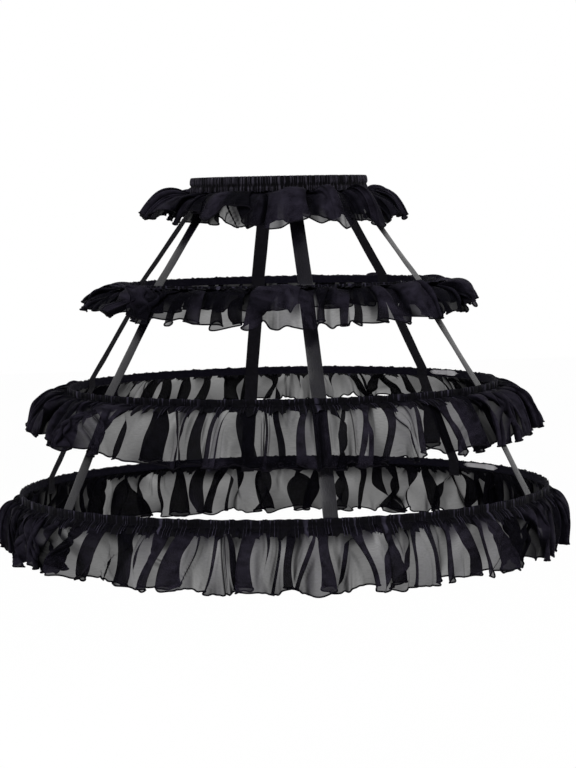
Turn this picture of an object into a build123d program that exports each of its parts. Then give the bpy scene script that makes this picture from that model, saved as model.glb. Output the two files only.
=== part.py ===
from build123d import *
import os
from math import atan2, cos, pi, radians, sin
from typing import NamedTuple

# Crinoline cage, worn at the waist. Millimetres and degrees.
# The origin is the centre of the waist opening at the waistband's mid height, +Z up, front at -Y.
# Angles around the cage run from the front (-Y) towards the wearer's left (+X).

# Waistband: a shirred cloth tunnel with an elastic inside
waist_radius = 120.5
waistband_height = 25.0
waistband_thickness = 4.4
waistband_wall = 1.2
shirring_pitch = 16.0
shirring_depth = 1.4
elastic_clearance = 0.2

# Hoops: rings of short flats, so that each ribbon lies flat on one of them and the meshes stay light
# The radius is across the flats at the middle of the casing, the drop is from the origin to its top edge
hoop_flats = 60
upper_hoop_radius = 218.0
middle_hoop_radius = 304.0
lower_hoop_radius = 375.0
upper_hoop_drop = 135.0
middle_hoop_drop = 279.5
lower_hoop_drop = 427.5

# Casing: a folded cloth tape with a stitched seam allowance below the bone
casing_wall = 0.8
casing_seam_allowance = 2.4
casing_clearance = 0.15

# Bone: a flat strip bent to a ring, its ends butted inside a joint sleeve
bone_height = 6.6
bone_thickness = 1.2
bone_end_gap = 1.0
sleeve_length = 20.0
sleeve_wall = 0.5
sleeve_clearance = 0.1

# Window in the inner wall of the two larger casings, beside one ribbon, to thread the bone and its sleeve
window_turn_flats = 1.8
window_start_flats = 0.6
sleeve_turn_flats = 2

# Ribbons: flat tapes stitched to the inside of each casing
ribbon_width = 20.0
ribbon_thickness = 0.6
ribbon_seat_gap = 0.05
ribbon_waist_inset = 1.2
ribbon_tail = 12.0
# each ribbon is stitched to the flat nearest to its angle
front_ribbon_angle = 0
front_right_ribbon_angle = 54
back_right_ribbon_angle = 126
back_ribbon_angle = 180
back_left_ribbon_angle = 240
front_left_ribbon_angle = 300

# Ruffles: gathered cloth, folded between crest and valley lines from the seam over a swell down to the hem
# Reach is out from the hoop, fall is down from the seam, depth and lift set the crests off from the valleys,
# and the side lift raises the hem at the sides of the cage and lowers it at the front and back
cloth_thickness = 1.0
waist_flute_pitch = 28.0
upper_flute_pitch = 37.0
middle_flute_pitch = 37.0
lower_flute_pitch = 36.0
seam_reach = 1.95
seam_depth = 2.4
waist_swell_reach = 33.0
waist_swell_fall = 3.5
waist_swell_depth = 9.0
waist_swell_lift = 6.0
waist_hem_reach = 60.0
waist_hem_fall = 27.0
waist_hem_depth = 17.0
waist_hem_lift = -8.0
waist_side_lift = 11.0
upper_swell_reach = 35.5
upper_swell_fall = 2.5
upper_swell_depth = 8.0
upper_swell_lift = 4.0
upper_hem_reach = 57.0
upper_hem_fall = 33.0
upper_hem_depth = 13.0
upper_hem_lift = -3.0
upper_side_lift = 8.0
middle_swell_reach = 35.5
middle_swell_fall = 16.5
middle_swell_depth = 9.0
middle_swell_lift = 2.0
middle_hem_reach = 54.0
middle_hem_fall = 65.5
middle_hem_depth = 13.0
middle_hem_lift = -2.0
middle_side_lift = 8.0
lower_swell_reach = 20.0
lower_swell_fall = 26.0
lower_swell_depth = 9.0
lower_swell_lift = 2.0
lower_hem_reach = 22.0
lower_hem_fall = 76.0
lower_hem_depth = 13.0
lower_hem_lift = -2.0
lower_side_lift = 2.0
# irregular folds, as shares of a flute pitch and of the depth of a fold
fold_drift_share = 0.17
fold_lean_share = 0.20
fold_depth_share = 0.32
fold_rhythm = 2.4

# Sizes that follow from the ones above
waistband_radius = waist_radius + waistband_thickness
waistband_bottom = -waistband_height / 2
tunnel_radius = waist_radius + waistband_thickness / 2
tunnel_thickness = waistband_thickness - 2 * waistband_wall
tunnel_height = waistband_height - 2 * waistband_wall
elastic_thickness = tunnel_thickness - 2 * elastic_clearance
elastic_height = tunnel_height - 2 * elastic_clearance
shirring_count = round(2 * pi * waistband_radius / shirring_pitch)
sleeve_gap = sleeve_wall + sleeve_clearance
cavity_thickness = bone_thickness + 2 * (sleeve_gap + casing_clearance)
cavity_height = bone_height + 2 * (sleeve_gap + casing_clearance)
casing_thickness = cavity_thickness + 2 * casing_wall
casing_height = cavity_height + casing_wall + casing_seam_allowance


class FoldRing(NamedTuple):
    """One level of a ruffle: how far it stands out and falls, and how its crests differ from its valleys."""

    reach: float
    fall: float
    depth: float
    lift: float

    @property
    def crest_reach(self):
        return self.reach + self.depth / 2

    @property
    def valley_reach(self):
        return self.reach - self.depth / 2

    @property
    def crest_fall(self):
        return self.fall - self.lift / 2

    @property
    def valley_fall(self):
        return self.fall + self.lift / 2


hoop_seam = FoldRing(seam_reach, 0, seam_depth, 0)
waist_folds = [
    FoldRing(0, 0, seam_depth, 0),
    FoldRing(waist_swell_reach, waist_swell_fall, waist_swell_depth, waist_swell_lift),
    FoldRing(waist_hem_reach, waist_hem_fall, waist_hem_depth, waist_hem_lift),
]
upper_folds = [
    hoop_seam,
    FoldRing(upper_swell_reach, upper_swell_fall, upper_swell_depth, upper_swell_lift),
    FoldRing(upper_hem_reach, upper_hem_fall, upper_hem_depth, upper_hem_lift),
]
middle_folds = [
    hoop_seam,
    FoldRing(middle_swell_reach, middle_swell_fall, middle_swell_depth, middle_swell_lift),
    FoldRing(middle_hem_reach, middle_hem_fall, middle_hem_depth, middle_hem_lift),
]
lower_folds = [
    hoop_seam,
    FoldRing(lower_swell_reach, lower_swell_fall, lower_swell_depth, lower_swell_lift),
    FoldRing(lower_hem_reach, lower_hem_fall, lower_hem_depth, lower_hem_lift),
]


class Hoop(NamedTuple):
    """One hoop of the cage: its casing's middle radius, top edge height, ruffle and window."""

    radius: float
    top: float
    flute_pitch: float
    folds: list
    side_lift: float
    has_window: bool

    @property
    def bottom(self):
        return self.top - casing_height

    @property
    def inner_radius(self):
        return self.radius - casing_thickness / 2

    @property
    def bone_middle(self):
        return self.top - casing_wall - cavity_height / 2

    @property
    def cavity_bottom(self):
        return self.top - casing_wall - cavity_height

    @property
    def ribbon_radius(self):
        """Outer face of a ribbon that lies on the casing's inner wall."""
        return self.inner_radius - ribbon_seat_gap


hoops = {
    "upper": Hoop(
        radius=upper_hoop_radius,
        top=-upper_hoop_drop,
        flute_pitch=upper_flute_pitch,
        folds=upper_folds,
        side_lift=upper_side_lift,
        has_window=False,
    ),
    "middle": Hoop(
        radius=middle_hoop_radius,
        top=-middle_hoop_drop,
        flute_pitch=middle_flute_pitch,
        folds=middle_folds,
        side_lift=middle_side_lift,
        has_window=True,
    ),
    "lower": Hoop(
        radius=lower_hoop_radius,
        top=-lower_hoop_drop,
        flute_pitch=lower_flute_pitch,
        folds=lower_folds,
        side_lift=lower_side_lift,
        has_window=True,
    ),
}
ribbon_angles = {
    "front": front_ribbon_angle,
    "front_right": front_right_ribbon_angle,
    "back_right": back_right_ribbon_angle,
    "back": back_ribbon_angle,
    "back_left": back_left_ribbon_angle,
    "front_left": front_left_ribbon_angle,
}
flat_turn = 360 / hoop_flats


def flat_angle(angle):
    """Middle of the flat nearest to this angle."""
    return round(angle / flat_turn) * flat_turn


sleeve_angle = flat_angle(back_right_ribbon_angle) - sleeve_turn_flats * flat_turn
window_angle = flat_angle(back_right_ribbon_angle) - window_start_flats * flat_turn


def radial_plane(angle):
    """Sketch plane through the axis: x is the radius at this angle, y is height."""
    outward = Vector(sin(radians(angle)), -cos(radians(angle)), 0)
    return Plane(origin=(0, 0, 0), x_dir=outward, z_dir=outward.cross(Vector(0, 0, 1)))


def at(angle, radius, height):
    return Vector(radius * sin(radians(angle)), -radius * cos(radians(angle)), height)


def many_sided(radius, mode=Mode.ADD):
    """Polygon of the hoops' flats with a flat facing the front; the radius is across the flats."""
    RegularPolygon(radius, hoop_flats, major_radius=False, rotation=flat_turn / 2, mode=mode)


def make_ring(radius, thickness, bottom, height):
    with BuildPart() as ring:
        with BuildSketch(Plane.XY.offset(bottom)):
            many_sided(radius + thickness / 2)
            many_sided(radius - thickness / 2, mode=Mode.SUBTRACT)
        extrude(amount=height)
    return ring.part


def make_waistband():
    step = 360 / (2 * shirring_count)
    ribs = [
        at(i * step, waistband_radius + (shirring_depth if i % 2 == 0 else 0), 0)
        for i in range(2 * shirring_count)
    ]
    with BuildPart() as band:
        with BuildSketch(Plane.XY.offset(waistband_bottom)):
            with BuildLine():
                Polyline(*[(p.X, p.Y) for p in ribs], close=True)
            make_face()
            Circle(waist_radius, mode=Mode.SUBTRACT)
        extrude(amount=waistband_height)
        add(make_ring(tunnel_radius, tunnel_thickness, -tunnel_height / 2, tunnel_height), mode=Mode.SUBTRACT)
    return band.part


def make_elastic():
    return make_ring(tunnel_radius, elastic_thickness, -elastic_height / 2, elastic_height)


def make_casing(hoop):
    with BuildPart() as casing:
        add(make_ring(hoop.radius, casing_thickness, hoop.bottom, casing_height))
        add(make_ring(hoop.radius, cavity_thickness, hoop.cavity_bottom, cavity_height), mode=Mode.SUBTRACT)
        if hoop.has_window:
            with BuildSketch(radial_plane(window_angle)):
                with Locations((hoop.radius, hoop.bone_middle)):
                    Rectangle(casing_thickness, cavity_height, align=(Align.MAX, Align.CENTER))
            revolve(axis=Axis.Z, revolution_arc=-window_turn_flats * flat_turn, mode=Mode.SUBTRACT)
    return casing.part


def make_bone(hoop):
    with BuildPart() as bone:
        add(make_ring(hoop.radius, bone_thickness, hoop.bone_middle - bone_height / 2, bone_height))
        with BuildSketch(radial_plane(sleeve_angle)):
            with Locations((hoop.radius, hoop.bone_middle)):
                Rectangle(cavity_thickness, cavity_height)
        extrude(amount=bone_end_gap / 2, both=True, mode=Mode.SUBTRACT)
    return bone.part


def make_sleeve(hoop):
    with BuildPart() as sleeve:
        with BuildSketch(radial_plane(sleeve_angle)):
            with Locations((hoop.radius, hoop.bone_middle)):
                Rectangle(bone_thickness + 2 * sleeve_gap, bone_height + 2 * sleeve_gap)
                Rectangle(
                    bone_thickness + 2 * sleeve_clearance,
                    bone_height + 2 * sleeve_clearance,
                    mode=Mode.SUBTRACT,
                )
        extrude(amount=sleeve_length / 2, both=True)
    return sleeve.part


def fold_points(radius, top, pitch, side_lift, ring, level, levels):
    """Outer and inner points of one level of a ruffle, crest and valley in turn around the ring."""
    count = round(2 * pi * radius / pitch)
    flute = 360 / count
    share = level / (levels - 1)
    outer, inner = [], []
    for i in range(count):
        drift = fold_drift_share * sin(fold_rhythm * i) * sin(pi * i / count)
        lean = fold_lean_share * share * sin(fold_rhythm * 1.7 * i)
        depth = fold_depth_share * share * sin(fold_rhythm * 0.6 * i) ** 2
        crest = ring.crest_reach - depth * (ring.crest_reach - ring.valley_reach)
        for turn, reach, fall in (
            (i + drift + lean, crest, ring.crest_fall),
            (i + 0.5 - drift + lean, ring.valley_reach, ring.valley_fall),
        ):
            angle = turn * flute
            slope = atan2(reach, fall) if level > 0 else 0
            height = top - fall - side_lift * share**2 * cos(2 * radians(angle))
            outer.append(at(angle, radius + reach, height))
            inner.append(
                at(
                    angle,
                    radius + reach - cloth_thickness * cos(slope),
                    height - cloth_thickness * sin(slope),
                )
            )
    return outer, inner


def make_ruffle(radius, top, pitch, side_lift, folds):
    rings = [fold_points(radius, top, pitch, side_lift, ring, n, len(folds)) for n, ring in enumerate(folds)]
    outers, inners = [r[0] for r in rings], [r[1] for r in rings]
    loops = outers + inners[::-1]
    count = len(loops[0])
    facets = []
    for n, (upper, lower) in enumerate(zip(loops, loops[1:] + loops[:1])):
        inside = n >= len(folds)
        for i in range(count):
            j = (i + 1) % count
            a, b, c, d = upper[i], lower[i], lower[j], upper[j]
            crest_first = i % 2 == 0
            if n == len(loops) - 1:
                corners = [(a, b, c, d)]
            elif crest_first != inside:
                corners = [(a, b, c), (a, c, d)]
            else:
                corners = [(a, b, d), (b, c, d)]
            facets += [Face(Wire.make_polygon(corner)) for corner in corners]
    with BuildPart() as ruffle:
        add(Solid(Shell(facets)))
    return ruffle.part


def make_ribbon(angle):
    outer = [(waist_radius + ribbon_waist_inset, waistband_bottom)]
    for hoop in hoops.values():
        outer += [(hoop.ribbon_radius, hoop.top), (hoop.ribbon_radius, hoop.bottom)]
    outer.append((hoops["lower"].ribbon_radius, hoops["lower"].bottom - ribbon_tail))
    inner = [(radius - ribbon_thickness, height) for radius, height in reversed(outer)]
    with BuildPart() as ribbon:
        with BuildSketch(radial_plane(angle)):
            with BuildLine():
                Polyline(*outer, *inner, close=True)
            make_face()
        extrude(amount=ribbon_width / 2, both=True)
    return ribbon.part


nodes = {
    "waistband": make_waistband(),
    "waist_elastic": make_elastic(),
    "waist_ruffle": make_ruffle(
        waistband_radius, waistband_bottom, waist_flute_pitch, waist_side_lift, waist_folds
    ),
}
for name, hoop in hoops.items():
    nodes[f"{name}_hoop_casing"] = make_casing(hoop)
    nodes[f"{name}_hoop_bone"] = make_bone(hoop)
    nodes[f"{name}_joint_sleeve"] = make_sleeve(hoop)
    nodes[f"{name}_ruffle"] = make_ruffle(
        hoop.radius, hoop.bottom, hoop.flute_pitch, hoop.side_lift, hoop.folds
    )
for name, angle in ribbon_angles.items():
    nodes[f"{name}_ribbon"] = make_ribbon(flat_angle(angle))

os.makedirs("parts", exist_ok=True)
for name, part in nodes.items():
    part.label = name
    export_step(part, f"parts/{name}.step")
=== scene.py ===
"""Crinoline cage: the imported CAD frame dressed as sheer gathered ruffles, boned casings, satin ribbons and a
shirred waistband.

Lengths are in millimetres until a mesh is written, angles run from the front (-Y) towards +X.
"""
from typing import NamedTuple

import bpy
import numpy as np
from mathutils import Euler, Matrix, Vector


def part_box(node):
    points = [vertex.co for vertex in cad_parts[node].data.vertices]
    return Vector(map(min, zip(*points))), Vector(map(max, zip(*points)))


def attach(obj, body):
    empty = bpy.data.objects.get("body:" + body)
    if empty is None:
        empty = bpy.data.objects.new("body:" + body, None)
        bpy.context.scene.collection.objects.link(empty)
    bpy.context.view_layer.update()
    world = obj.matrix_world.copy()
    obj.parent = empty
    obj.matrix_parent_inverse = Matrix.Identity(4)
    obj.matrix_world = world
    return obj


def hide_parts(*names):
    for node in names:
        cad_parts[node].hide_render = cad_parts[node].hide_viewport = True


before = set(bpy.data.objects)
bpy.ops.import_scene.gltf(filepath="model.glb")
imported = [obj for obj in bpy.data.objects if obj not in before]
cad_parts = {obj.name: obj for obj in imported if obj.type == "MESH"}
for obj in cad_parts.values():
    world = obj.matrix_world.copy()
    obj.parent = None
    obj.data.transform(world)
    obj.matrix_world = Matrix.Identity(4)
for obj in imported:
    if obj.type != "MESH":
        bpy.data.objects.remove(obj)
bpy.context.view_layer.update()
scene = bpy.context.scene
scene.view_settings.view_transform = "Standard"

MM = 0.001
HOOPS = ("upper", "middle", "lower")
BONE_HALF = 0.6  # half a bone's thickness
# each hoop has 60 flats; a ribbon lies on these, counted from the front
FLAT_TURN = np.radians(6.0)
RIBBON_FLATS = {"front": 0, "front_right": 9, "back_right": 21, "back": 30, "back_left": 40, "front_left": 50}
RIBBON_WIDTH, RIBBON_TAIL, RIBBON_SEAT = 20.0, 12.0, 0.05
RIBBON_TOP = (121.7, -12.5)
# the two ends of the cage, where the cloth is pushed together, lie this far round from its sides
SIDE_TURN = np.radians(9.0)
# where the two larger casings are open on the inside
WINDOW_START, WINDOW_END = np.radians(111.6), np.radians(122.4)


def node_box(name):
    """Lowest and highest corner of a CAD node, in millimetres."""
    low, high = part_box(name)
    return np.array(low) / MM, np.array(high) / MM


def hoop_sizes(hoop):
    """Outer radius, inner radius, top and bottom of a casing, read from its CAD node and its bone's."""
    low, high = node_box(f"{hoop}_hoop_casing")
    bone = node_box(f"{hoop}_hoop_bone")[1][0] - BONE_HALF
    outer = high[0]
    return outer, 2 * bone - outer, high[2], low[2]


def ring_point(angle, radius, height):
    """Points at these angles from the front, radii and heights, stacked on the last axis."""
    return np.stack([radius * np.sin(angle), -radius * np.cos(angle), height + 0 * angle], axis=-1)


def short_way(gap, length):
    """A gap round a ring of this length, taken the short way, so between minus and plus half the length."""
    return (gap + length / 2) % length - length / 2


def smooth_step(low, high, x):
    """Zero below low, one above high, an even curve between."""
    s = np.clip((x - low) / (high - low), 0, 1)
    return s * s * (3 - 2 * s)


def ring_noise(turn, waves, seed):
    """A closed wavering line round a ring: a sum of sines with whole numbers of waves and seeded phases, scaled to
    a spread of about one."""
    rng = np.random.default_rng(seed)
    phases = rng.uniform(0, 2 * np.pi, len(waves))
    total = sum(np.sin(wave * turn + phase) for wave, phase in zip(waves, phases))
    return total / np.sqrt(len(waves) / 2)


# Meshes

def cloth_mesh(name, points, material, round_u=True, round_v=False, **values):
    """A grid of points (u around, v down) as a mesh with smooth faces pointing outwards and a UV map in metres along
    the cloth. Each of the values is kept at the points under its name: cover is how much of the light the cloth
    stops, with some painted shade in it, and the shading value is painted shade in the grooves and a painted highlight
    on the ridges, from 0 to 1."""
    count_u, count_v = points.shape[:2]
    steps_u = count_u if round_u else count_u - 1
    steps_v = count_v if round_v else count_v - 1
    i, j = np.meshgrid(np.arange(steps_u), np.arange(steps_v), indexing="ij")
    i2, j2 = (i + 1) % count_u, (j + 1) % count_v
    corners = [i * count_v + j, i * count_v + j2, i2 * count_v + j2, i2 * count_v + j]
    quads = np.stack(corners, axis=-1).reshape(-1, 4)
    mesh = bpy.data.meshes.new(name)
    mesh.from_pydata((points.reshape(-1, 3) * MM).tolist(), [], quads.tolist())
    along = np.linalg.norm(np.roll(points, -1, 0) - points, axis=-1).mean(1)
    down = np.linalg.norm(np.roll(points, -1, 1) - points, axis=-1).mean(0)
    u = np.concatenate([[0], np.cumsum(along)]) * MM
    v = np.concatenate([[0], np.cumsum(down)]) * MM
    corner_u = np.stack([u[i], u[i], u[i + 1], u[i + 1]], axis=-1)
    corner_v = np.stack([v[j], v[j + 1], v[j + 1], v[j]], axis=-1)
    layer = mesh.uv_layers.new(name="cloth")
    layer.data.foreach_set("uv", np.stack([corner_u, corner_v], axis=-1).reshape(-1).astype(np.float32))
    mesh.polygons.foreach_set("use_smooth", np.ones(len(quads), dtype=bool))
    for key, value in values.items():
        layer = mesh.attributes.new(key, "FLOAT", "POINT")
        layer.data.foreach_set("value", value.reshape(-1).astype(np.float32))
    mesh.materials.append(material)
    piece = bpy.data.objects.new(name, mesh)
    scene.collection.objects.link(piece)
    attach(piece, "root")
    return piece


def tube_points(line, radius, sides=6):
    """A closed line of points with a round section carried along it, square to the way from each point's neighbour
    before to the one after."""
    ahead = np.roll(line, -1, 0) - np.roll(line, 1, 0)
    ahead /= np.linalg.norm(ahead, axis=-1, keepdims=True) + 1e-9
    side = np.cross(ahead, [0.0, 0.0, 1.0])
    side /= np.linalg.norm(side, axis=-1, keepdims=True) + 1e-9
    up = np.cross(side, ahead)
    turn = np.linspace(0, 2 * np.pi, sides, endpoint=False)[None, :, None]
    return line[:, None] + radius * (np.cos(turn) * side[:, None] - np.sin(turn) * up[:, None])


def cut_size(points):
    """Width and length of a closed ring of cloth before it was gathered, in metres: the mean length of the rows and
    of the columns."""
    rows = np.linalg.norm(np.diff(points, axis=0), axis=-1).sum(0).mean()
    rows += np.linalg.norm(points[0] - points[-1], axis=-1).mean()
    columns = np.linalg.norm(np.diff(points, axis=1), axis=-1).sum(1).mean()
    return rows * MM, columns * MM


# Materials

def linear(code):
    """An sRGB hex colour as linear RGBA."""
    srgb = np.array([int(code[k:k + 2], 16) for k in (1, 3, 5)]) / 255
    return (*np.where(srgb <= 0.04045, srgb / 12.92, ((srgb + 0.055) / 1.055) ** 2.4), 1.0)


def add_node(tree, kind, settings=None, **inputs):
    """A node of this kind with its settings; an input is a value, or a socket that is linked to it. Inputs go by
    their name, or by i and their number."""
    node = tree.nodes.new(kind)
    for key, value in (settings or {}).items():
        setattr(node, key, value)
    for key, value in inputs.items():
        numbered = key[0] == "i" and key[1:].isdigit()
        socket = node.inputs[int(key[1:])] if numbered else node.inputs[key.replace("_", " ")]
        if isinstance(value, bpy.types.NodeSocket):
            tree.links.new(value, socket)
        else:
            socket.default_value = value
    return node


def new_material(name):
    """A material with a Principled shader on its output; returns the material, its tree and the shader."""
    material = bpy.data.materials.new(name)
    material.use_nodes = True
    tree = material.node_tree
    tree.nodes.clear()
    shader = add_node(tree, "ShaderNodeBsdfPrincipled")
    add_node(tree, "ShaderNodeOutputMaterial", Surface=shader.outputs[0])
    return material, tree, shader


def wave_scale(period_mm):
    """Wave texture scale that repeats at this period on coordinates in metres."""
    return 2 * np.pi / 20 / (period_mm * MM)


def woven(tree, warp_mm, weft_mm, on_part=False):
    """Height of a plain weave on the cloth's UV map, or on a CAD piece's own coordinates: the sum of two crossed waves
    at the thread spacings. Returns the coordinates too."""
    if on_part:
        place = add_node(tree, "ShaderNodeTexCoord").outputs["Object"]
    else:
        place = add_node(tree, "ShaderNodeUVMap", {"uv_map": "cloth"}).outputs[0]
    threads = [
        add_node(tree, "ShaderNodeTexWave", {"bands_direction": way}, Vector=place, Scale=wave_scale(spacing),
                 Distortion=0.4).outputs[1]
        for way, spacing in (("X", warp_mm), ("Z" if on_part else "Y", weft_mm))
    ]
    height = add_node(tree, "ShaderNodeMath", {"operation": "ADD"}, i0=threads[0], i1=threads[1])
    return place, height.outputs[0]


def varied(tree, place, scale, low, high):
    """Colour that wavers between two hex colours with a noise of this scale per metre: 150 gives patches about 7 mm
    wide, 90 about 11 mm and 60 about 17 mm."""
    noise = add_node(tree, "ShaderNodeTexNoise", Vector=place, Scale=scale, Detail=3.0)
    ramp = add_node(tree, "ShaderNodeValToRGB", Fac=noise.outputs[0])
    for stop, position, code in zip(ramp.color_ramp.elements, (0.3, 0.7), (low, high)):
        stop.position, stop.color = position, linear(code)
    return ramp.outputs[0]


def folded_shades(tree, uv, groove, ridge):
    """Colour of cloth that lies in folds: painted shade in the grooves and a painted highlight on the ridges, from one
    hex colour to the other by a value that the mesh keeps at its points, times an uneven dye."""
    height = add_node(tree, "ShaderNodeAttribute", {"attribute_name": "rib"}).outputs["Fac"]
    shades = add_node(tree, "ShaderNodeValToRGB", Fac=height)
    for stop, position, code in zip(shades.color_ramp.elements, (0.3, 1.0), (groove, ridge)):
        stop.position, stop.color = position, linear(code)
    dye = varied(tree, uv, 90.0, "#8c8a90", "#ffffff")
    product = {"data_type": "RGBA", "blend_type": "MULTIPLY"}
    return add_node(tree, "ShaderNodeMix", product, i0=1.0, i6=shades.outputs[0], i7=dye).outputs[2]


def sheer_chiffon():
    """Polyester chiffon, woven of fine crepe thread: see-through in one layer, near black in three, hardly any
    gloss."""
    material, tree, shader = new_material("sheer_chiffon")
    # threads lie about 0.25 mm apart on the real cloth and are drawn at 0.8 mm so that they show
    uv, weave = woven(tree, 0.8, 0.8)
    # painted shade in the hollows of the folds and a painted highlight on their crests
    tree.links.new(folded_shades(tree, uv, "#0b0a11", "#282530"), shader.inputs["Base Color"])
    bump = add_node(tree, "ShaderNodeBump", Height=weave, Strength=0.25, Distance=0.0002)
    tree.links.new(bump.outputs[0], shader.inputs["Normal"])
    shader.inputs["Roughness"].default_value = 0.85
    shader.inputs["Specular IOR Level"].default_value = 0.04
    # uneven crepe thread: slubs about 6 mm long and 1.1 mm across let more or less light through
    cover = add_node(tree, "ShaderNodeAttribute", {"attribute_name": "cover"}).outputs["Fac"]
    slubs = add_node(tree, "ShaderNodeMapping", Vector=uv, Scale=(160.0, 900.0, 1.0))
    noise = add_node(tree, "ShaderNodeTexNoise", Vector=slubs.outputs[0], Scale=1.0, Detail=2.0)
    uneven = add_node(tree, "ShaderNodeMapRange", Value=noise.outputs[0], i1=0.25, i2=0.75, i3=0.84, i4=1.16)
    through = add_node(tree, "ShaderNodeMath", {"operation": "SUBTRACT"}, i0=1.0, i1=cover)
    through = add_node(tree, "ShaderNodeMath", {"operation": "MULTIPLY"}, i0=through.outputs[0], i1=uneven.outputs[0])
    alpha = add_node(tree, "ShaderNodeMath", {"operation": "SUBTRACT"}, i0=1.0, i1=through.outputs[0])
    tree.links.new(alpha.outputs[0], shader.inputs["Alpha"])
    return material


def dense_cloth(name, low, high, warp_mm, weft_mm, specular, on_part=False):
    """Closely woven black polyester: opaque, matt, with a fine weave and uneven dye."""
    material, tree, shader = new_material(name)
    place, weave = woven(tree, warp_mm, weft_mm, on_part)
    tree.links.new(varied(tree, place, 150.0, low, high), shader.inputs["Base Color"])
    bump = add_node(tree, "ShaderNodeBump", Height=weave, Strength=0.35, Distance=0.0003)
    tree.links.new(bump.outputs[0], shader.inputs["Normal"])
    shader.inputs["Roughness"].default_value = 0.8
    shader.inputs["Specular IOR Level"].default_value = specular
    return material


def satin_weave():
    """Polyester satin ribbon: long floats along the ribbon give a soft grey gloss on black."""
    material, tree, shader = new_material("satin_weave")
    # floats lie about 0.2 mm apart on the real ribbon and are drawn coarser so that they show
    uv, weave = woven(tree, 1.1, 0.5)
    tree.links.new(varied(tree, uv, 90.0, "#07060d", "#0f0d16"), shader.inputs["Base Color"])
    # the gloss wavers in streaks about 25 mm by 0.7 mm
    streaks = add_node(tree, "ShaderNodeMapping", Vector=uv, Scale=(40.0, 1500.0, 1.0))
    noise = add_node(tree, "ShaderNodeTexNoise", Vector=streaks.outputs[0], Scale=1.0, Detail=2.0)
    gloss = add_node(tree, "ShaderNodeMapRange", Value=noise.outputs[0], i3=0.2, i4=0.32)
    tree.links.new(gloss.outputs[0], shader.inputs["Roughness"])
    bump = add_node(tree, "ShaderNodeBump", Height=weave, Strength=0.12, Distance=0.0002)
    tree.links.new(bump.outputs[0], shader.inputs["Normal"])
    shader.inputs["Specular IOR Level"].default_value = 0.25
    return material


def moulded_strip(name, low, high, rough):
    """Extruded white plastic: pale, slightly uneven, with a dull gloss and fine draw lines 0.9 mm apart."""
    material, tree, shader = new_material(name)
    place = add_node(tree, "ShaderNodeTexCoord").outputs["Object"]
    tree.links.new(varied(tree, place, 60.0, low, high), shader.inputs["Base Color"])
    lines = add_node(tree, "ShaderNodeTexWave", {"bands_direction": "Z"}, Vector=place, Scale=wave_scale(0.9),
                     Distortion=0.6)
    bump = add_node(tree, "ShaderNodeBump", Height=lines.outputs[1], Strength=0.15, Distance=0.0002)
    tree.links.new(bump.outputs[0], shader.inputs["Normal"])
    shader.inputs["Roughness"].default_value = rough
    return material


def ribbed_cloth(name, groove, ridge, thread_mm):
    """Polyester cloth drawn up in small ribs, black: a painted grey highlight lies on the ridges and painted shade in
    the grooves, times an uneven dye."""
    material, tree, shader = new_material(name)
    uv, weave = woven(tree, thread_mm, thread_mm)
    tree.links.new(folded_shades(tree, uv, groove, ridge), shader.inputs["Base Color"])
    bump = add_node(tree, "ShaderNodeBump", Height=weave, Strength=0.3, Distance=0.0003)
    tree.links.new(bump.outputs[0], shader.inputs["Normal"])
    shader.inputs["Roughness"].default_value = 0.65
    shader.inputs["Specular IOR Level"].default_value = 0.05
    return material


# Thread spacings are in millimetres. They are drawn coarser than real threads, about 0.15 to 0.4 mm apart, so that
# they show; only the elastic's ribs are near their real size.
CHIFFON = sheer_chiffon()
# chiffon packed in tight gathers: opaque and black, with a painted grey highlight on the pucker ridges and painted
# shade between them
GATHERED = ribbed_cloth("gathered_chiffon", "#08070d", "#484555", 0.8)
# a hem rolled and oversewn with black thread: a thin dark line, no gloss
HEM_THREAD = dense_cloth("rolled_hem", "#0b0a0e", "#131117", 0.6, 0.6, 0.03)
# crisp taffeta tape: an even black that hides the bone
CASING = dense_cloth("casing_taffeta", "#0b0a13", "#15131d", 0.7, 0.5, 0.04)
# poplin drawn up on elastic: black, with a painted grey highlight on the ridges and painted shade in the grooves
SHIRRED = ribbed_cloth("shirred_poplin", "#060509", "#484550", 0.6)
# elastic woven over rubber cores: charcoal, with broad ribs
ELASTIC = dense_cloth("woven_elastic", "#1a1a1c", "#28282a", 1.6, 0.9, 0.2, on_part=True)
SATIN = satin_weave()
# the dull side of the ribbon: no floats, so hardly any gloss
SATIN_BACK = dense_cloth("satin_back", "#08070c", "#121017", 0.5, 1.1, 0.1)
# the bone's coating: greyish white, dull
BONE = moulded_strip("coated_bone", "#b4b1b6", "#c6c4c8", 0.45)
# the sleeve at the bone's joint: paler and a little glossier
SLEEVE = moulded_strip("milky_sleeve", "#c4c2c6", "#d4d3d6", 0.35)


# Ruffles

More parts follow.
